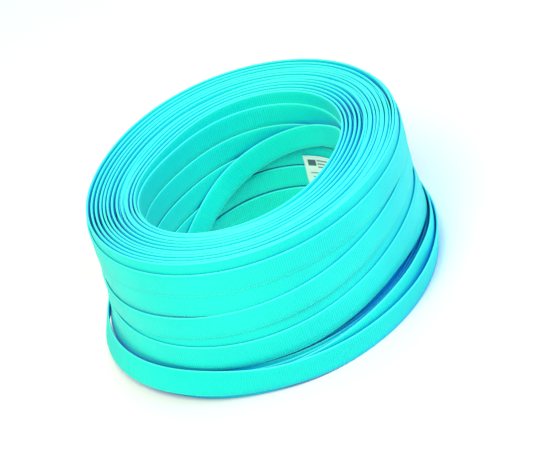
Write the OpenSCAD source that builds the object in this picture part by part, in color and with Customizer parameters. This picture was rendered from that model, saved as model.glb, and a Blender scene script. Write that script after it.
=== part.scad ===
// Coreless roll of flat woven webbing. One long strap is wound level, turn beside turn,
// into an oval coil, with loose last turns round its foot, a slack first turn in its hole
// and two free ends. Millimetres; +Z up the coil's axis, +X along the oval's long axis,
// origin on the axis at the foot of the coil.

/* [Webbing] */
// Width of the strap
strap_w = 25; // [22:0.5:28]
// Thickness of the strap
strap_t = 2.0; // [1.6:0.1:2.4]

/* [Coil] */
// Mean outer radius of the tight winding
outer_r = 164; // [158:1:172]
// Mean radius of the hole
hole_r = 106; // [98:1:112]
// Height of the coil
coil_h = 154; // [145:1:165]
// Number of down-and-up layers in the winding
layer_count = 13; // [13:1:13]
// How far the coil is pressed out of round, each way
oval = 14; // [8:1:16]
// Direction of the long axis of the hole
hole_turn = -9; // [-20:1:20]
// How far the hole sits off the axis
hole_shift = 9; // [0:0.5:10]
// Direction in which the hole sits off the axis
hole_shift_dir = -151; // [-180:1:180]

/* [Loose outer turns] */
// Clearance between the inner loose turn and the winding
inner_gap = 8; // [6:0.5:8]
// Clearance between the outer loose turn and the winding
outer_gap = 13; // [13:0.5:16]
// How far the strap stands off where one loose turn becomes the next
swing_gap = 14; // [12:0.5:16]
// Length of the free outer end
outer_end_len = 95; // [60:5:120]

/* [Inner turn] */
// Greatest distance of the slack inner turn from the wall of the hole
inner_slack = 9; // [5:0.5:12]
// Length of the free inner end
inner_end_len = 70; // [50:5:90]

/* [Label] */
// Width of the label round the wall of the hole
label_w = 52; // [40:1:60]
// Height of the label
label_h = 36; // [30:1:42]
// Thickness of the label
label_t = 0.5; // [0.3:0.1:0.8]

/* [Hidden] */

web_blue = [0.02, 0.72, 0.93];
web_edge = [0.10, 0.80, 0.97];
label_white = [0.94, 0.95, 0.95];

ring_step = 3.75;       // angle between the points of a layer's outline
rest_gap = 0.5;         // clearance between soft pieces that touch in use
hinge_gap = 0.4;        // length of strap left out where a free end bends

// Angles round the axis where each loose piece starts and stops
upper_from = 150;
upper_to = 497;
lower_from = 497;
lower_to = 730;
inner_from = 142;
inner_to = -63;

foot_z = strap_w / 2 + 0.1;  // middle of a strap that stands on the floor
upper_lift = 14;             // how far the inner loose turn climbs at the right
swing_lift = 12;             // height at which one loose turn becomes the next
start_gap = 6.5;             // how far the inner loose turn's start stands off
foot_lean = 16;              // lean of the loose turns' foot, outwards at the left
top_lean = 14;               // lean of the outer loose turn's top, outwards at the right
close_gap = 5;               // clearance of the outer loose turn at the front
inner_low_z = strap_w / 2 + 5;
inner_high_z = coil_h - strap_w / 2 - 10;

label_mid = -16;        // angle of the label's middle
label_z = 39;           // height of the label's lower edge

// ---------------------------------------------------------------- curves

function smooth(t) = let (c = min(1, max(0, t))) c * c * (3 - 2 * c);

function ease(a, from, to) = smooth((a - from) / (to - from));

function out_of_round(a) = oval * cos(2 * a);

function outer_edge(a) = outer_r + out_of_round(a);

function hole_edge(a) =
    hole_r + out_of_round(a - hole_turn) + hole_shift * cos(a - hole_shift_dir);

function layer_edge(k, a) =
    hole_edge(a) + (outer_edge(a) - hole_edge(a)) * k / layer_count;

function outline(k) =
    [for (a = [0 : ring_step : 360 - ring_step]) layer_edge(k, a) * [cos(a), sin(a)]];

// The inner loose turn leaves the winding at its foot, bulges out of the coil's right side
// and swings wide of its left side, where it becomes the outer loose turn
function upper_off(a) =
    rest_gap + start_gap * (1 - ease(a, upper_from, 190)) + inner_gap * ease(a, 205, 262)
    + (swing_gap - inner_gap) * ease(a, 430, 490);

function lower_off(a) =
    rest_gap + swing_gap
    - (swing_gap - close_gap + rest_gap) * ease(a, 500, 560)
    + (outer_gap - close_gap) * ease(a, 572, 632)
    - 1.5 * ease(a, 640, 700);

// The strap's foot leans out at the left, and its top leans out at the right
function upper_lean(a) = foot_lean * ease(a, 440, 485);

function lower_lean(a) =
    foot_lean * (1 - ease(a, 535, 560))
    - top_lean * ease(a, 565, 630) * (1 - ease(a, 650, 700));

function upper_r(a) = outer_edge(a) + strap_t / 2 + upper_off(a);

function lower_r(a) = outer_edge(a) + strap_t / 2 + lower_off(a);

// Height of the strap's middle
function upper_z(a) =
    foot_z + upper_lift * ease(a, 185, 250)
    - (upper_lift - swing_lift + 2) * ease(a, 265, 340)
    + 2 * ease(a, 430, upper_to);

function lower_z(a) = foot_z + swing_lift * (1 - ease(a, 525, 590));

// The slack inner turn climbs the wall of the hole from its foot to near the top
function inner_off(a) =
    rest_gap + 1.2 + inner_slack * ease(a, 50, -25) * (1 - ease(a, -30, inner_to));

function inner_r(a) = hole_edge(a) - strap_t / 2 - inner_off(a);

function inner_z(a) =
    inner_low_z
    + (inner_high_z - inner_low_z) * eased_climb((inner_from - a) / (inner_from - inner_to));

// A climb that is a little gentler at both ends
function eased_climb(t) = 0.75 * min(1, max(0, t)) + 0.25 * smooth(t);

// ---------------------------------------------------------------- shared solids

// One layer of the winding: the space between two neighbouring outlines
module winding_layer(k) {
    color(web_blue) linear_extrude(coil_h) difference() {
        polygon(outline(k));
        polygon(outline(k - 1));
    }
}

// Corners of the strap's section at one place on its path. lean tips the lower edge outwards.
function section(a, r, z, lean) =
    let (
        out = [cos(a), sin(a), 0],
        up = [-sin(lean) * cos(a), -sin(lean) * sin(a), cos(lean)],
        face = [cos(lean) * cos(a), cos(lean) * sin(a), sin(lean)],
        mid = r * out + [0, 0, z]
    )
    [for (s = [[-1, -1], [1, -1], [1, 1], [-1, 1]])
        mid + s[0] * face * strap_t / 2 + s[1] * up * strap_w / 2];

// A strap swept through a list of sections
module strap(sections) {
    count = len(sections);
    points = [for (s = sections) each s];
    sides = [for (i = [0 : count - 2], j = [0 : 3])
        let (n = (j + 1) % 4) [4 * i + j, 4 * i + n, 4 * i + 4 + n, 4 * i + 4 + j]];
    ends = [[3, 2, 1, 0], [for (j = [0 : 3]) 4 * (count - 1) + j]];
    color(web_edge) polyhedron(points, concat(sides, ends), convexity = 6);
}

// Angles from one to the other in equal steps of about step degrees
function spread(from, to, step) =
    let (n = ceil(abs(to - from) / step)) [for (i = [0 : n]) from + (to - from) * i / n];

function degrees_of(length, r) = length / r * 180 / PI;

// ---------------------------------------------------------------- sub-parts

module loose_turn_upper() {
    strap([for (a = spread(upper_from, upper_to, 6))
        section(a, upper_r(a), upper_z(a), upper_lean(a))]);
}

module loose_turn_lower() {
    strap([for (a = spread(lower_from, lower_to, 6))
        section(a, lower_r(a), lower_z(a), lower_lean(a))]);
}

// The free outer end carries on from the lower turn, standing on the floor
module outer_end() {
    start = lower_to + degrees_of(hinge_gap, lower_r(lower_to));
    stop = start + degrees_of(outer_end_len, lower_r(lower_to));
    strap([for (a = spread(start, stop, 5)) section(a, lower_r(a), lower_z(a), 0)]);
}

module inner_turn() {
    strap([for (a = spread(inner_to, inner_from, 5)) section(a, inner_r(a), inner_z(a), 0)]);
}

// The free inner end carries on from the slack turn along the wall of the hole
module inner_end() {
    start = inner_to - degrees_of(hinge_gap, inner_r(inner_to));
    stop = start - degrees_of(inner_end_len, inner_r(inner_to));
    strap([for (a = spread(stop, start, 5)) section(a, inner_r(a), inner_z(a), 0)]);
}

// The label follows the wall of the hole, clear of its flats
module label() {
    half = degrees_of(label_w / 2, hole_edge(label_mid));
    arc = spread(label_mid - half, label_mid + half, 2.5);
    wall = [for (a = arc) (hole_edge(a) - rest_gap) * [cos(a), sin(a)]];
    face = [for (i = [len(arc) - 1 : -1 : 0])
        (hole_edge(arc[i]) - rest_gap - label_t) * [cos(arc[i]), sin(arc[i])]];
    color(label_white) translate([0, 0, label_z]) linear_extrude(label_h)
        polygon(concat(wall, face));
}

for (k = [1 : layer_count]) {
    winding_layer(k);
}
loose_turn_upper();
loose_turn_lower();
outer_end();
inner_turn();
inner_end();
label();
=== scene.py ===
"""Looks of a coreless roll of flat woven webbing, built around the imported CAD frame.

The strap is wound here as a winder lays it: turn beside turn, up and down the coil, each turn
resting on those below it. Lengths are in millimetres until a mesh is made; angles round the
coil are in degrees, and +X is the long axis of the oval.
"""

import math

import bmesh
import bpy
import numpy as np
from mathutils import Matrix, Vector


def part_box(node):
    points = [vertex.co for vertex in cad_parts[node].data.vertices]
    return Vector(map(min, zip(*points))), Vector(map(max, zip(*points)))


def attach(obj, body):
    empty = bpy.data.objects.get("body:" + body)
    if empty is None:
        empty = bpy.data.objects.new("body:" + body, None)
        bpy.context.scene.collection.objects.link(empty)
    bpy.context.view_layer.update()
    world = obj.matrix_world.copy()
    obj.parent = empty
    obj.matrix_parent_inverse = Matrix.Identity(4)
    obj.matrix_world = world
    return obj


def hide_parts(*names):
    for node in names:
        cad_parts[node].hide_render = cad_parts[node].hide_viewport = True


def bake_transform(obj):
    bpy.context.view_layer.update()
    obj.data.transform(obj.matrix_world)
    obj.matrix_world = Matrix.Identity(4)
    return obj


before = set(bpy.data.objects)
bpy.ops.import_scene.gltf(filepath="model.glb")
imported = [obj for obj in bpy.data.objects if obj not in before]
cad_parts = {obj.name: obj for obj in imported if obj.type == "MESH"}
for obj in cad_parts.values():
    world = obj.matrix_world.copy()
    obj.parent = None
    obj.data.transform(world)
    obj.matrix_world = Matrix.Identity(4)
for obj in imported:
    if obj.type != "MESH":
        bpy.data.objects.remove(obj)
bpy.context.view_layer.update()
MM = 0.001

# The strap and the coil, as the CAD model has them
STRAP_W = 25.0
STRAP_T = 2.0
OUTER_R = 164.0
HOLE_R = 106.0
OVAL = 14.0
HOLE_TURN = -9.0
HOLE_SHIFT = 9.0
HOLE_SHIFT_DIR = -151.0
COIL_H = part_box("layer_01")[1].z / MM
LAYERS = sum(name.startswith("layer_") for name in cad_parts)

# The loose turns. SWING_GAP, SWING_LIFT, FOOT_LEAN and TOP_LEAN are 14, 12, 16 and 14 in part.scad;
# the values here follow the photograph a few millimetres more closely.
REST_GAP = 0.5            # clearance where soft pieces touch in use
START_GAP = 6.5           # how far the inner loose turn's start stands off the winding
INNER_GAP = 8.0           # clearance between the inner loose turn and the winding
OUTER_GAP = 13.0          # clearance between the outer loose turn and the winding
SWING_GAP = 17.0          # how far the strap stands off where one turn becomes the next
CLOSE_GAP = 5.0           # clearance of the outer loose turn at the front
RIGHT_ROOM = 2.3          # how much further off the inner loose turn stands at the right
BACK_DRAW = 1.5           # how far the outer loose turn draws in behind the coil
FOOT_Z = STRAP_W / 2 + 0.1
UPPER_LIFT = 14.0         # how far the inner loose turn climbs at the right
SWING_LIFT = 9.0          # height at which one loose turn becomes the next
LAST_LIFT = 2.0           # part of that height climbed in the last degrees
FOOT_LEAN = 20.0          # lean of the loose turns' foot, outwards at the left
TOP_LEAN = 10.0           # lean of the outer loose turn's top, outwards at the right
UPPER_FROM, UPPER_TO = 150.0, 497.0
LOWER_FROM, LOWER_TO = 497.0, 730.0
OUTER_END_LEN = 95.0
HINGE_GAP = 0.4

# The slack inner turn. Its room and lean, and the label's place, follow the photograph too.
INNER_FROM, INNER_TO = 142.0, -63.0
INNER_REST = 1.2          # how far it stands off the wall of the hole where it lies against it
INNER_ROOM = 1.5          # how much more room it has at the far side of the hole
INNER_SLACK = 9.0         # how far it sags off the wall at the right
INNER_LEAN = 11.0         # how far its top leans in at the far side
INNER_LOW_Z = STRAP_W / 2 + 5
INNER_HIGH_Z = COIL_H - STRAP_W / 2 - 10
INNER_END_LEN = 70.0
LABEL_MID, LABEL_W, LABEL_H, LABEL_Z = -17.5, 46.0, 36.0, 41.0
LABEL_T = 0.3
LABEL_LIFT, LABEL_WAVE = 1.6, 0.5   # how far the label stands off the wall, and its ripple

RIB_PITCH = 2.27          # distance between the weave's cross ribs
RIB_HEIGHT = 0.11         # how far the ribs stand up on the loose turns
MELTED = 3.0              # length of a cut end that is melted hard
MELTED_T = 0.62           # thickness of the melted end as a share of the strap's


# ------------------------------------------------------------------ stage

VIEW_FROM = -153.1        # direction of the camera round the coil
VIEW_UP = 32.4            # its height above the horizon
VIEW_ROLL = 16.7          # how far the camera is turned clockwise
VIEW_DISTANCE = 1.92
VIEW_LENS = 127.0
VIEW_TARGET = Vector((0, 0, 0.080))
VIEW_SLIDE = (0.0160, -0.0129)   # the camera stands this far right of and above the target's line
SENSOR = 36.0
FLOOR_HALF = 6.0
SKY_COLOUR, SKY_STRENGTH = (0.90, 0.95, 1, 1), 0.55
FLOOR_COLOUR, FLOOR_ROUGH = (0.93, 0.94, 0.95, 1), 0.9

# Lights: name, angle from the camera, height above the horizon, distance, size, power, colour
LIGHTS = (
    ("key", -25, 52, 1.6, 1.0, 19, (1, 1, 0.66)),
    ("fill", 80, 42, 1.7, 1.2, 15, (0.35, 0.62, 1)),
    ("back", 180, 60, 1.6, 0.9, 7, (1, 1, 0.8)),
)


def direction(angle, up):
    """Unit vector at an angle round the coil and a height above the horizon."""
    a, u = math.radians(angle), math.radians(up)
    return Vector((math.cos(a) * math.cos(u), math.sin(a) * math.cos(u), math.sin(u)))


def make_camera():
    """Camera at the photograph's viewing angle, turned about its own axis."""
    back = direction(VIEW_FROM, VIEW_UP)
    turn = (-back).to_track_quat("-Z", "Y").to_matrix() @ Matrix.Rotation(
        math.radians(-VIEW_ROLL), 3, "Z"
    )
    data = bpy.data.cameras.new("camera")
    data.lens = VIEW_LENS
    data.sensor_width = SENSOR
    camera = bpy.data.objects.new("camera", data)
    bpy.context.scene.collection.objects.link(camera)
    place = VIEW_TARGET + back * VIEW_DISTANCE + turn @ Vector((*VIEW_SLIDE, 0))
    camera.matrix_world = Matrix.Translation(place) @ turn.to_4x4()
    bpy.context.scene.camera = camera


def area_light(name, angle, up, distance, size, power, colour):
    """Round soft light, aimed at the coil."""
    data = bpy.data.lights.new(name, "AREA")
    data.shape = "DISK"
    data.size = size
    data.energy = power
    data.color = colour
    light = bpy.data.objects.new(name, data)
    bpy.context.scene.collection.objects.link(light)
    out = direction(VIEW_FROM + angle, up)
    light.location = VIEW_TARGET + out * distance
    light.rotation_mode = "QUATERNION"
    light.rotation_quaternion = (-out).to_track_quat("-Z", "Y")


def make_stage():
    """Sky, lights and a plain pale floor."""
    scene = bpy.context.scene
    scene.view_settings.view_transform = "Standard"
    world = bpy.data.worlds.new("studio")
    scene.world = world
    world.use_nodes = True
    sky = world.node_tree.nodes["Background"]
    sky.inputs["Color"].default_value = SKY_COLOUR
    sky.inputs["Strength"].default_value = SKY_STRENGTH
    for light in LIGHTS:
        area_light(*light)
    mesh = bpy.data.meshes.new("floor")
    corners = [(x * FLOOR_HALF, y * FLOOR_HALF, 0) for x, y in ((-1, -1), (1, -1), (1, 1), (-1, 1))]
    mesh.from_pydata(corners, [], [(0, 1, 2, 3)])
    floor = bpy.data.objects.new("floor", mesh)
    scene.collection.objects.link(floor)
    material = bpy.data.materials.new("floor_paper")
    material.use_nodes = True
    shader = material.node_tree.nodes["Principled BSDF"]
    shader.inputs["Base Color"].default_value = FLOOR_COLOUR
    shader.inputs["Roughness"].default_value = FLOOR_ROUGH
    mesh.materials.append(material)


# ------------------------------------------------------------------ curves

# The angles given to ease() are the places round the coil where a change starts and stops.

def smooth(t):
    c = np.clip(t, 0.0, 1.0)
    return c * c * (3 - 2 * c)


def ease(a, start, stop):
    return smooth((a - start) / (stop - start))


def cosd(a):
    return np.cos(np.radians(a))


def outer_edge(a):
    return OUTER_R + OVAL * cosd(2 * a)


def hole_edge(a):
    return HOLE_R + OVAL * cosd(2 * (a - HOLE_TURN)) + HOLE_SHIFT * cosd(a - HOLE_SHIFT_DIR)


def upper_r(a):
    start = START_GAP * (1 - ease(a, UPPER_FROM, 215))
    out = INNER_GAP * ease(a, 205, 262) + (SWING_GAP - INNER_GAP) * ease(a, 430, 490)
    out = out + RIGHT_ROOM * ease(a, 262, 285) * (1 - ease(a, 330, 355))
    return outer_edge(a) + STRAP_T / 2 + REST_GAP + start + out


def lower_r(a):
    close = (SWING_GAP - CLOSE_GAP + REST_GAP) * ease(a, 495, 554)
    out = (OUTER_GAP - CLOSE_GAP) * ease(a, 572, 632) - BACK_DRAW * ease(a, 640, 700)
    return outer_edge(a) + STRAP_T / 2 + REST_GAP + SWING_GAP - close + out


def upper_lean(a):
    return FOOT_LEAN * ease(a, 440, 485)


def lower_lean(a):
    left = FOOT_LEAN * (1 - ease(a, 535, 560))
    return left - TOP_LEAN * ease(a, 565, 630) * (1 - ease(a, 650, 700))


def upper_z(a):
    drop = (UPPER_LIFT - SWING_LIFT + LAST_LIFT) * ease(a, 265, 340)
    last = LAST_LIFT * ease(a, 430, UPPER_TO)
    return FOOT_Z + UPPER_LIFT * ease(a, 198, 255) - drop + last


def lower_z(a):
    return FOOT_Z + SWING_LIFT * (1 - ease(a, 525, 590))


def far_side(a):
    """1 where the slack inner turn crosses the far side of the hole, 0 elsewhere."""
    return ease(a, 138, 112) * (1 - ease(a, 50, -10))


def inner_r(a):
    slack = INNER_SLACK * ease(a, 50, -25) * (1 - ease(a, -30, INNER_TO))
    off = REST_GAP + INNER_REST + slack + INNER_ROOM * far_side(a)
    return hole_edge(a) - STRAP_T / 2 - off


def inner_lean(a):
    return -INNER_LEAN * far_side(a)


def inner_z(a):
    t = (INNER_FROM - a) / (INNER_FROM - INNER_TO)
    climb = 0.75 * np.clip(t, 0, 1) + 0.25 * smooth(t)
    return INNER_LOW_Z + (INNER_HIGH_Z - INNER_LOW_Z) * climb


def around(a, r, z):
    """Points in millimetres at angles, radii and heights."""
    return np.stack([r * cosd(a), r * np.sin(np.radians(a)), z * np.ones_like(a)], axis=-1)


# ------------------------------------------------------------------ winding

STEPS = 120               # steps of the strap's path in one turn
PASSES = 2 * LAYERS       # the strap passes up and down once for each layer
WOUND_T = 1.95            # thickness of a turn under winding tension
TURN_SEED = 7
DWELL, RUN = (0.80, 0.98), (4.95, 5.20)   # turns at an end of the coil, and turns in a pass
LAST_DWELL, LAST_RUN, RUN_BENEATH = 0.88, 4.83, 5.16
HIGH_SIDE = -63.0         # direction in which the turns of the outer layers run highest
SHINGLE = 0.5             # how far a turn's edge stands out over its neighbour's
TILT = (0.5, 13.0)        # how far the turns tilt up to the high side, at the hole and outside
FOOT_RISE = 6.5           # how far the lowest turns of the outer layers rise
RISE_H = 60.0             # height above the foot over which they do
UNEVEN = (0.25, 0.5)      # unevenness of the heights, at the coil's ends and added between them
UNEVEN_STEP = 0.37        # turns between the points of that unevenness
WANDER = 1.2              # unevenness of the radii, before it is smoothed
SHOWN = 0.3               # share of that unevenness that the winding shows
OVERLAP_FADE = 7.0        # overlap of two turns at which the upper one is lifted in full
LEAVING = 70.0            # angle over which the last turn leaves the winding
LOW, HIGH = STRAP_W / 2, COIL_H - STRAP_W / 2

# The last pass down the outer wall: turns before its end, angle and height of the strap's middle
LAST_PASS = (
    (4, -220, 141.5), (4, -100, 141.5), (3, -220, 130.0), (3, -60, 129.5),
    (2, -220, 106.5), (2, -60, 106.0),
    (1, -220, 73.0), (1, -200, 77.0), (1, -170, 82.5), (1, -150, 86.5),
    (1, -128, 94.0), (1, -105, 101.5), (1, -90, 104.0), (1, -60, 104.0),
    (0, -220, 46.0), (0, -170, 45.5), (0, -155, 47.5), (0, -135, 52.5),
    (0, -120, 57.5), (0, -105, 62.0), (0, -90, 64.5), (0, -60, 63.0),
    (0, 100, 17.0), (0, 125, FOOT_Z), (0, 150, FOOT_Z),
)

# The pass up beneath it: degrees after its start, and height of the strap's middle
PASS_BENEATH = (
    (0, 12.5), (103, 19.0), (223, 28.0), (303, 38.0), (373, 45.5), (403, 53.5), (418, 55.5),
    (433, 53.5), (463, 48.0), (523, 49.0), (663, 63.0), (733, 71.0), (900, 88.0),
)

# The outer wall's departures from the plain oval, near its foot
FLARE, FLARE_SWING = 5.5, 5.0     # how far the foot flares out, and how much that changes round it
RECESS, RECESS_DIR, RECESS_REACH = 4.0, -105.0, 28.0
LEFT_BULGE, LEFT_DIR, LEFT_REACH = 8.0, 122.0, 38.0
RIGHT_BULGE, RIGHT_DIR, RIGHT_REACH = 5.0, -43.0, 35.0


def pass_plan():
    """Turns that the strap stays at one end before each pass, and turns of the pass."""
    rng = np.random.default_rng(TURN_SEED)
    dwell = rng.uniform(*DWELL, PASSES)
    run = rng.uniform(*RUN, PASSES)
    dwell[-1], run[-1], run[-2] = LAST_DWELL, LAST_RUN, RUN_BENEATH
    return dwell, run


def box_smooth(values, reach):
    """Running mean over reach steps on each side."""
    padded = np.pad(values, reach, mode="edge")
    return np.convolve(padded, np.ones(2 * reach + 1) / (2 * reach + 1), "valid")


def mid_share(z):
    """0 at the foot and at the top of the coil, 1 between them."""
    return np.sin(np.pi * np.clip((z - LOW) / (HIGH - LOW), 0, 1)) ** 0.7


def wind():
    """Angle, height, build-up, unevenness, tilt and lift of the strap along the winding."""
    dwell, run = pass_plan()
    heights, builds, turn = [(0.0, LOW)], [(0.0, 0.5)], 0.0
    for k in range(PASSES):
        here, there = (LOW, HIGH) if k % 2 == 0 else (HIGH, LOW)
        heights += [(turn + dwell[k], here), (turn + dwell[k] + run[k], there)]
        builds += [(turn + dwell[k], k + 0.5), (turn + dwell[k] + run[k], k + 0.5)]
        turn += dwell[k] + run[k]
    tau = np.arange(int(turn * STEPS) + 1) / STEPS
    angle = UPPER_FROM + 360 * (tau - tau[-1])
    z = box_smooth(np.interp(tau, *zip(*heights)), 20)
    share = np.interp(tau, *zip(*builds)) / PASSES
    rise = FOOT_RISE * np.sin(np.pi * np.clip((z - LOW) / RISE_H, 0, 1)) ** 2
    z = z + rise * smooth((share - 0.8) / 0.05)
    z = z + (TILT[0] + TILT[1] * share**2) * cosd(angle - HIGH_SIDE) * mid_share(z)
    rng = np.random.default_rng(TURN_SEED + 1)
    marks = np.arange(0, turn + 1, UNEVEN_STEP)
    uneven = np.interp(tau, marks, rng.normal(0, 1, len(marks)))
    z = z + uneven * (UNEVEN[0] + UNEVEN[1] * mid_share(z))
    z, last = follow_tables(angle, z, dwell, run)
    wander = box_smooth(rng.normal(0, 1, len(tau)), 12) * WANDER
    sides = [(t, 1.0 if i % 4 in (3, 0) else -1.0) for i, (t, _) in enumerate(heights)]
    tilt = SHINGLE * np.interp(tau, *zip(*sides))
    return angle, z, share, wander, tilt, lifted(angle, z, share, last)


def follow_tables(angle, z, dwell, run):
    """Gives the last two passes their chosen heights, and says where the last one starts."""
    last = angle[-1] - 360 * (dwell[-1] + run[-1])
    after = angle - (last - 360 * run[-2])
    chosen = np.interp(after, *zip(*PASS_BENEATH))
    z = z + (chosen - z) * ease(after, -10, 10) * (1 - ease(after, 733, 900))
    knots = [(a - 360 * n, height) for n, a, height in LAST_PASS]
    chosen = box_smooth(np.interp(angle, *zip(*knots)), 8)
    return np.clip(z + (chosen - z) * ease(angle, last, last + 90), LOW, HIGH), last


def lifted(angle, z, share, last):
    """How far each turn of the last pass stands out because it lies over the turn before it."""
    out = np.zeros(len(z))
    wall = OUTER_R - HOLE_R
    for i in np.flatnonzero(angle > last):
        over = smooth((STRAP_W - abs(z[i] - z[i - STEPS]) - 1) / OVERLAP_FADE)
        clear = (share[i] - share[i - STEPS]) * wall
        out[i] = max(0.0, (out[i - STEPS] + WOUND_T - clear) * over)
    return box_smooth(out, 6)


def near(a, centre, reach):
    """1 in one direction round the coil, falling to 0 on both sides of it."""
    turned = (a - centre + 180) % 360 - 180
    return np.exp(-((turned / reach) ** 2))


def coil_radius(a, share, z):
    """Radius of a point of the winding. share runs from 0 at the hole to 1 at the outer wall.

    The wall's departures from the oval fade out with height and towards the inner layers.
    """
    low = np.clip(1 - z / COIL_H, 0, 1)
    flare = (FLARE + FLARE_SWING * cosd(2 * (a - HIGH_SIDE))) * low**1.2
    left = LEFT_BULGE * smooth((45 - z) / 25) * near(a, LEFT_DIR, LEFT_REACH)
    right = RIGHT_BULGE * smooth((62 - z) / 25) * near(a, RIGHT_DIR, RIGHT_REACH)
    recess = RECESS * smooth((40 - z) / 12) * near(a, RECESS_DIR, RECESS_REACH)
    out = flare + left + right * smooth((share - 0.85) / 0.1)
    out = out - recess * smooth((share - 0.8) / 0.1)
    plain = hole_edge(a) + share * (outer_edge(a) - hole_edge(a))
    return plain + smooth((share - 0.5) / 0.5) * out


# ------------------------------------------------------------------ meshes

# Section of the strap: across its width, and out of its face, in halves of width and thickness
SECTION = np.array(
    [
        (-0.94, 1.0), (-0.5, 0.95), (0.0, 0.94), (0.5, 0.95), (0.94, 1.0), (1.0, 0.4),
        (1.0, -0.4), (0.94, -1.0), (0.5, -0.95), (0.0, -0.94), (-0.5, -0.95), (-0.94, -1.0),
        (-1.0, -0.4), (-1.0, 0.4),
    ]
)

EDGE_RIBS = 0.35          # height of the ribs at the strap's edges as a share of that on its faces
NO_CUT = 99.0             # stands for the distance to the cut on a strap without one


def unit(v):
    return v / np.linalg.norm(v, axis=-1, keepdims=True)


def strap_frame(middle, upward, outward):
    """Directions across the strap's width and out of its face at each point of its path."""
    along = unit(np.gradient(middle, axis=0))
    across = unit(upward - (upward * along).sum(-1, keepdims=True) * along)
    face = unit(np.cross(along, across))
    face = face * np.sign((face * outward).sum(-1, keepdims=True))
    return across, face


def strap_points(middle, upward, outward, run, thickness, ribs, to_cut):
    """Rings of points round the strap, one for each point of its path."""
    across, face = strap_frame(middle, upward, outward)
    wave = ribs * np.cos(2 * np.pi * run / RIB_PITCH)
    edge = np.where(np.abs(SECTION[:, 0]) > 0.9, EDGE_RIBS, 1.0)
    out = (thickness / 2 + wave[:, None] * edge[None, :]) * SECTION[None, :, 1]
    out = out * (MELTED_T + (1 - MELTED_T) * smooth(to_cut / MELTED))[:, None]
    side = STRAP_W / 2 * SECTION[None, :, 0]
    return middle[:, None] + side[..., None] * across[:, None] + out[..., None] * face[:, None]


def fill_mesh(mesh, points):
    """Joins the rings of points into a closed solid. Returns the corners of its faces."""
    count, ring = points.shape[:2]
    i, j = np.meshgrid(np.arange(count - 1), np.arange(ring), indexing="ij")
    n = (j + 1) % ring
    quads = np.stack([i * ring + j, (i + 1) * ring + j, (i + 1) * ring + n, i * ring + n], -1)
    caps = [list(range(ring)), list(range(count * ring - 1, (count - 1) * ring - 1, -1))]
    corners = np.concatenate([quads.ravel(), np.array(caps).ravel()]).astype(np.int32)
    sizes = np.concatenate([np.full(i.size, 4), np.full(2, ring)])
    starts = np.concatenate([[0], np.cumsum(sizes)[:-1]]).astype(np.int32)
    mesh.vertices.add(count * ring)
    mesh.vertices.foreach_set("co", (points * MM).astype(np.float32).ravel())
    mesh.loops.add(len(corners))
    mesh.loops.foreach_set("vertex_index", corners)
    mesh.polygons.add(len(sizes))
    mesh.polygons.foreach_set("loop_start", starts)
    return corners


def strap_mesh(
    name, middle, upward, outward, materials, start=0.0, thickness=STRAP_T, ribs=0.0, cut=None
):
    """One length of strap swept along its middle line. cut names an end that is melted.

    start is the length of strap before it, which keeps the weave in step. Returns the piece and
    the length of strap up to its end.
    """
    steps = np.linalg.norm(np.diff(middle, axis=0), axis=1)
    run = start + np.concatenate([[0], np.cumsum(steps)])
    to_cut = {"first": run - run[0], "last": run[-1] - run}.get(cut, np.full(len(run), NO_CUT))
    points = strap_points(middle, upward, outward, run, thickness, ribs, to_cut)
    ring = len(SECTION)
    mesh = bpy.data.meshes.new(name)
    corners = fill_mesh(mesh, points)
    for material in materials:
        mesh.materials.append(material)
    sides = np.repeat(to_cut[:-1] < MELTED, ring)
    melted = np.concatenate([sides, [cut == "first", cut == "last"]])
    mesh.polygons.foreach_set("material_index", melted.astype(np.int32))
    layer = mesh.uv_layers.new(name="Weave")
    width = (SECTION[:, 0] + 1) / 2
    place = np.stack([run[corners // ring] * MM, width[corners % ring]], -1)
    layer.data.foreach_set("uv", place.astype(np.float32).ravel())
    mesh.update(calc_edges=True)
    mesh.validate()
    mesh.shade_smooth()
    orient_outward(mesh)
    piece = bpy.data.objects.new(name, mesh)
    bpy.context.scene.collection.objects.link(piece)
    return piece, run[-1]


def orient_outward(mesh):
    """Turns the faces so that they look out of the solid."""
    bm = bmesh.new()
    bm.from_mesh(mesh)
    bmesh.ops.recalc_face_normals(bm, faces=bm.faces)
    bm.to_mesh(mesh)
    bm.free()


def ribbon(name, angles, radius, z, lean, materials, start=0.0, cut=None):
    """A loose length of strap along angles, radii and heights. lean tips its foot outwards."""
    middle = around(angles, radius, z)
    outward = around(angles, np.ones_like(angles), 0.0)
    tip = np.radians(lean * np.ones_like(angles))[:, None]
    upward = np.array([0, 0, 1.0]) * np.cos(tip) - outward * np.sin(tip)
    return strap_mesh(name, middle, upward, outward, materials, start, ribs=RIB_HEIGHT, cut=cut)


# ------------------------------------------------------------------ materials

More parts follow.
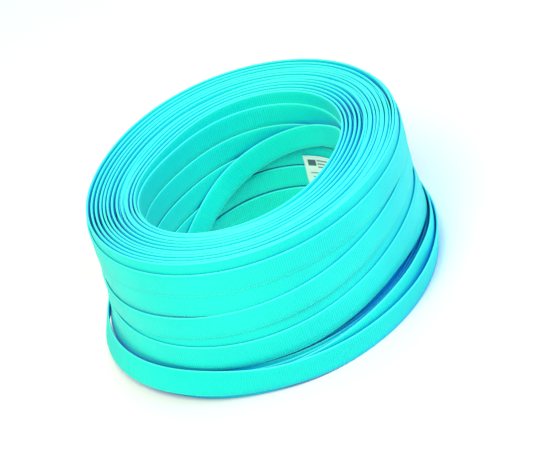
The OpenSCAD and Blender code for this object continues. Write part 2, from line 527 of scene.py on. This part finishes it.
class Nodes:
    """Short calls to add nodes to a material."""

    def __init__(self, name):
        self.material = bpy.data.materials.new(name)
        self.material.use_nodes = True
        self.tree = self.material.node_tree
        self.shader = self.tree.nodes["Principled BSDF"]

    def add(self, kind, **settings):
        node = self.tree.nodes.new(kind)
        for key, value in settings.items():
            setattr(node, key, value)
        return node

    def link(self, source, target):
        self.tree.links.new(source, target)

    def math(self, operation, first, second=None, third=None):
        node = self.add("ShaderNodeMath", operation=operation)
        for socket, value in zip(node.inputs, (first, second, third)):
            if isinstance(value, (int, float)):
                socket.default_value = value
            elif value is not None:
                self.link(value, socket)
        return node.outputs[0]

    def mix(self, share, first, second):
        node = self.add("ShaderNodeMix", data_type="RGBA")
        values = {0: share, 6: first, 7: second}
        for index, value in values.items():
            socket = node.inputs[index]
            if isinstance(value, (int, float)):
                socket.default_value = value
            elif isinstance(value, tuple):
                socket.default_value = (*value, 1)
            else:
                self.link(value, socket)
        return node.outputs[2]

    def band(self, value, middle, half, soft):
        """1 within half of middle, falling to 0 over soft."""
        gap = self.math("ABSOLUTE", self.math("SUBTRACT", value, middle))
        return self.ramp(gap, half + soft, half)

    def ramp(self, value, start, stop):
        node = self.add("ShaderNodeMapRange", interpolation_type="SMOOTHSTEP")
        self.link(value, node.inputs["Value"])
        node.inputs["From Min"].default_value = start
        node.inputs["From Max"].default_value = stop
        return node.outputs["Result"]

    def noise(self, scale, detail, vector):
        node = self.add("ShaderNodeTexNoise")
        node.inputs["Scale"].default_value = scale
        node.inputs["Detail"].default_value = detail
        self.link(vector, node.inputs["Vector"])
        return node.outputs[0]

    def bump(self, height, strength, distance):
        node = self.add("ShaderNodeBump")
        node.inputs["Strength"].default_value = strength
        node.inputs["Distance"].default_value = distance
        self.link(height, node.inputs["Height"])
        self.link(node.outputs[0], self.shader.inputs["Normal"])

    def split(self, uv_map):
        """The two coordinates of a UV map."""
        node = self.add("ShaderNodeSeparateXYZ")
        self.link(self.add("ShaderNodeUVMap", uv_map=uv_map).outputs[0], node.inputs[0])
        return node.outputs[0], node.outputs[1]

    def place(self):
        """Coordinates in the object."""
        return self.add("ShaderNodeTexCoord").outputs["Object"]


# Colours of the webbing: two of its lit faces, the painted shade of the weave's grooves, the
# painted highlight along the selvedges, and the blue painted where deep shade falls
LIT, LIT_CLOUD = (0.002, 0.78, 0.70), (0.006, 0.86, 0.74)
GROOVE_PAINTED_SHADE = (0.0, 0.56, 0.68)
SELVEDGE_PAINTED_HIGHLIGHT = (0.08, 0.96, 0.80)
DEEP_SHADE = (0.0, 0.40, 0.98)
SHADE_REACH = 0.07        # distance in metres over which neighbours shade the webbing
WARP_LINES = 17           # lengthwise lines across the strap's width


def webbing_material():
    """Woven polyester: cross ribs and lengthwise warp lines, a painted highlight along the
    selvedges, painted shade in the weave's grooves and in deep shade, and a light sheen.
    """
    n = Nodes("webbing_weave")
    along, across = n.split("Weave")
    turn = 2 * math.pi
    rib = n.math("COSINE", n.math("MULTIPLY", along, turn / (RIB_PITCH * MM)))
    warp = n.math("COSINE", n.math("MULTIPLY", across, turn * WARP_LINES))
    shift = n.math("MULTIPLY", n.math("SIGN", warp), 0.25)
    small = n.math("SINE", n.math("MULTIPLY_ADD", along, turn / (RIB_PITCH * MM / 2), shift))
    # edge is 1 along both selvedges, where the painted highlight goes
    edge = n.ramp(n.math("ABSOLUTE", n.math("SUBTRACT", across, 0.5)), 0.45, 0.475)
    where = n.place()
    fibre = n.noise(900.0, 3.0, where)
    cloud = n.noise(9.0, 2.0, where)

    relief = n.math("MULTIPLY_ADD", rib, 0.5, 0.5)
    relief = n.math("MULTIPLY_ADD", small, 0.16, relief)
    relief = n.math("MULTIPLY_ADD", warp, 0.14, relief)
    relief = n.math("MULTIPLY_ADD", fibre, 0.3, relief)
    n.bump(relief, 0.55, 0.0003)

    shade = n.add("ShaderNodeAmbientOcclusion", samples=8)
    shade.inputs["Distance"].default_value = SHADE_REACH
    hidden = n.ramp(shade.outputs["AO"], 0.52, 0.10)
    base = n.mix(n.ramp(cloud, 0.35, 0.65), LIT, LIT_CLOUD)
    # painted shade: where the weave's relief dips, the colour is darkened as if its grooves lay in
    # shade
    base = n.mix(n.math("MULTIPLY", n.ramp(relief, 0.55, 0.1), 0.6), base, GROOVE_PAINTED_SHADE)
    # painted highlight: both selvedges are lightened as if lit along their rounded edges
    base = n.mix(n.math("MULTIPLY", edge, 0.8), base, SELVEDGE_PAINTED_HIGHLIGHT)
    base = n.mix(n.math("MULTIPLY", hidden, 0.85), base, DEEP_SHADE)
    n.link(base, n.shader.inputs["Base Color"])
    rough = n.math("MULTIPLY_ADD", fibre, 0.2, 0.42)
    n.link(rough, n.shader.inputs["Roughness"])
    n.shader.inputs["Sheen Weight"].default_value = 0.12
    n.shader.inputs["Sheen Roughness"].default_value = 0.4
    n.shader.inputs["Sheen Tint"].default_value = (0.6, 0.95, 1.0, 1)
    n.shader.inputs["Specular IOR Level"].default_value = 0.22
    return n.material


def sealed_material():
    """The strap's cut end, melted hard and a little darker."""
    n = Nodes("heat_sealed_end")
    where = n.place()
    lumps = n.noise(350.0, 3.0, where)
    base = n.mix(n.ramp(lumps, 0.3, 0.7), (0.0, 0.26, 0.42), (0.0, 0.38, 0.55))
    n.link(base, n.shader.inputs["Base Color"])
    n.link(n.math("MULTIPLY_ADD", lumps, 0.3, 0.15), n.shader.inputs["Roughness"])
    n.bump(lumps, 0.6, 0.0004)
    return n.material


# The label's generic print, as rows of middle and half width across, middle and half height up,
# and darkness, in shares of the label's sides
PRINT = (
    (0.20, 0.10, 0.76, 0.10, 1.0),
    (0.62, 0.28, 0.84, 0.022, 0.8), (0.56, 0.22, 0.73, 0.022, 0.8),
    (0.60, 0.26, 0.62, 0.022, 0.8),
    (0.45, 0.33, 0.42, 0.018, 0.7), (0.45, 0.29, 0.29, 0.018, 0.7),
    (0.45, 0.25, 0.16, 0.018, 0.7),
)
PRINT_SOFT = 0.006        # softness of the print's edges


def label_material():
    """White film with a generic print: a solid corner block, and grey rows and bars."""
    n = Nodes("label_film")
    x, y = n.split("Print")
    ink = None
    for mid_x, half_x, mid_y, half_y, dark in PRINT:
        block = n.math(
            "MULTIPLY",
            n.band(x, mid_x, half_x, PRINT_SOFT),
            n.band(y, mid_y, half_y, PRINT_SOFT),
        )
        mark = n.math("MULTIPLY", block, dark)
        ink = n.math("MAXIMUM", ink, mark) if ink else mark
    wear = n.noise(120.0, 3.0, n.place())
    paper = n.mix(n.ramp(wear, 0.3, 0.8), (0.90, 0.92, 0.92), (0.82, 0.86, 0.88))
    base = n.mix(n.math("MULTIPLY", ink, 0.92), paper, (0.015, 0.05, 0.09))
    n.link(base, n.shader.inputs["Base Color"])
    n.link(n.math("MULTIPLY_ADD", wear, 0.25, 0.22), n.shader.inputs["Roughness"])
    return n.material


# ------------------------------------------------------------------ pieces

# Angles from a free end's hinge: where its piece starts, and where its bending starts and stops
OUTER_ROOT, OUTER_BEND = -8.0, (-4.0, 8.0)
INNER_ROOT, INNER_BEND = 12.0, (6.0, -10.0)
RIB_STEPS = 4             # steps of a loose strap's path in one rib
LOOSE_R, SLACK_R = 185.0, 105.0   # radii for which those steps are worked out


def add_piece(piece, node, body):
    """Hides the CAD node that a piece of strap stands for, and attaches the piece to its body if it
    has one.
    """
    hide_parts(node)
    if body:
        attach(piece, body)


def wound_layers(weave):
    """The winding, one piece for each down-and-up layer of the strap. Returns its length."""
    angle, z, share, wander, tilt, lift = wind()
    end = angle[-1]
    leave = ease(angle, end - LEAVING, end)
    loose = outer_edge(angle) + upper_r(end) - outer_edge(end)

    def edge_of(dz, out):
        r = coil_radius(angle, share, z + dz) + wander * SHOWN + lift + out
        return around(angle, r + (loose - r) * leave, z + dz)

    top, foot = edge_of(STRAP_W / 2, tilt), edge_of(-STRAP_W / 2, -tilt)
    middle, upward = (top + foot) / 2, top - foot
    outward = around(angle, np.ones_like(angle), 0.0)
    per_layer = len(angle) / LAYERS
    start = 0.0
    for k in range(LAYERS):
        part = slice(int(k * per_layer), min(int((k + 1) * per_layer) + 1, len(angle)))
        node = f"layer_{k + 1:02d}"
        piece, start = strap_mesh(
            f"webbing_{node}", middle[part], upward[part], outward[part], [weave], start, WOUND_T
        )
        add_piece(piece, node, "coil")
    turns = (end - angle[0]) / 360
    print("strap in the winding, m:", round(start * MM, 1), "turns:", round(turns, 1))
    return start


def blend_end(piece):
    """Bakes a free end's placement into its mesh; the end is not bent."""
    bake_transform(piece)


def loose_pieces(weave, sealed, start):
    """The loose outer turns and the free outer end."""
    rib_step = math.degrees(RIB_PITCH / RIB_STEPS / LOOSE_R)
    root = LOWER_TO + OUTER_ROOT
    stop = LOWER_TO + math.degrees((OUTER_END_LEN + HINGE_GAP) / lower_r(LOWER_TO))
    turns = (
        ("upper", UPPER_FROM, UPPER_TO, upper_r, upper_z, upper_lean),
        ("lower", LOWER_FROM, root, lower_r, lower_z, lower_lean),
    )
    for name, first, last, radius, height, lean in turns:
        a = np.linspace(first, last, int((last - first) / rib_step))
        piece, start = ribbon(
            f"webbing_{name}_turn", a, radius(a), height(a), lean(a), [weave], start
        )
        add_piece(piece, f"loose_turn_{name}", "coil")
    a = np.linspace(root, stop, int((stop - root) / rib_step))
    piece, _ = ribbon(
        "webbing_outer_end", a, lower_r(a), lower_z(a), 0.0, [weave, sealed], start, "last"
    )
    add_piece(piece, "outer_end", None)
    blend_end(piece)


def inner_pieces(weave, sealed):
    """The slack inner turn and the free inner end."""
    rib_step = math.degrees(RIB_PITCH / RIB_STEPS / SLACK_R)
    root = INNER_TO + INNER_ROOT
    stop = INNER_TO - math.degrees((INNER_END_LEN + HINGE_GAP) / inner_r(INNER_TO))
    a = np.arange(stop, root, rib_step)
    end, run = ribbon(
        "webbing_inner_end", a, inner_r(a), inner_z(a), 0.0, [weave, sealed], cut="first"
    )
    add_piece(end, "inner_end", None)
    blend_end(end)
    a = np.arange(root - rib_step, INNER_FROM, rib_step)
    turn, _ = ribbon("webbing_inner_turn", a, inner_r(a), inner_z(a), inner_lean(a), [weave], run)
    add_piece(turn, "inner_turn", "coil")


def label_piece(material):
    """The label, a thin film that follows the wall of the hole."""
    half = math.degrees(LABEL_W / 2 / hole_edge(LABEL_MID))
    columns, rows = 41, 29
    a = np.linspace(LABEL_MID - half, LABEL_MID + half, columns)
    z = np.linspace(LABEL_Z, LABEL_Z + LABEL_H, rows)
    grid_a, grid_z = np.meshgrid(a, z, indexing="ij")
    lift = LABEL_LIFT + LABEL_WAVE * np.sin(grid_z / 7.0 + 1.0) * cosd(grid_a * 2)
    points = around(grid_a, hole_edge(grid_a) - lift, grid_z)
    index = np.arange(columns * rows).reshape(columns, rows)
    faces = np.stack([index[:-1, :-1], index[:-1, 1:], index[1:, 1:], index[1:, :-1]], -1)
    mesh = bpy.data.meshes.new("label_film")
    mesh.from_pydata((points.reshape(-1, 3) * MM).tolist(), [], faces.reshape(-1, 4).tolist())
    layer = mesh.uv_layers.new(name="Print")
    share = np.stack([(index // rows) / (columns - 1), (index % rows) / (rows - 1)], -1)
    share[..., 0] = 1 - share[..., 0]
    loops = np.zeros(len(mesh.loops), np.int32)
    mesh.loops.foreach_get("vertex_index", loops)
    layer.data.foreach_set("uv", share.reshape(-1, 2)[loops].astype(np.float32).ravel())
    mesh.materials.append(material)
    label = bpy.data.objects.new("label_film", mesh)
    bpy.context.scene.collection.objects.link(label)
    thick = label.modifiers.new("thickness", "SOLIDIFY")
    thick.thickness = LABEL_T * MM
    thick.offset = 0
    mesh.shade_smooth()
    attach(label, "coil")
    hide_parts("label")


make_camera()
make_stage()
weave = webbing_material()
melted = sealed_material()
wound = wound_layers(weave)
loose_pieces(weave, melted, wound)
inner_pieces(weave, melted)
label_piece(label_material())
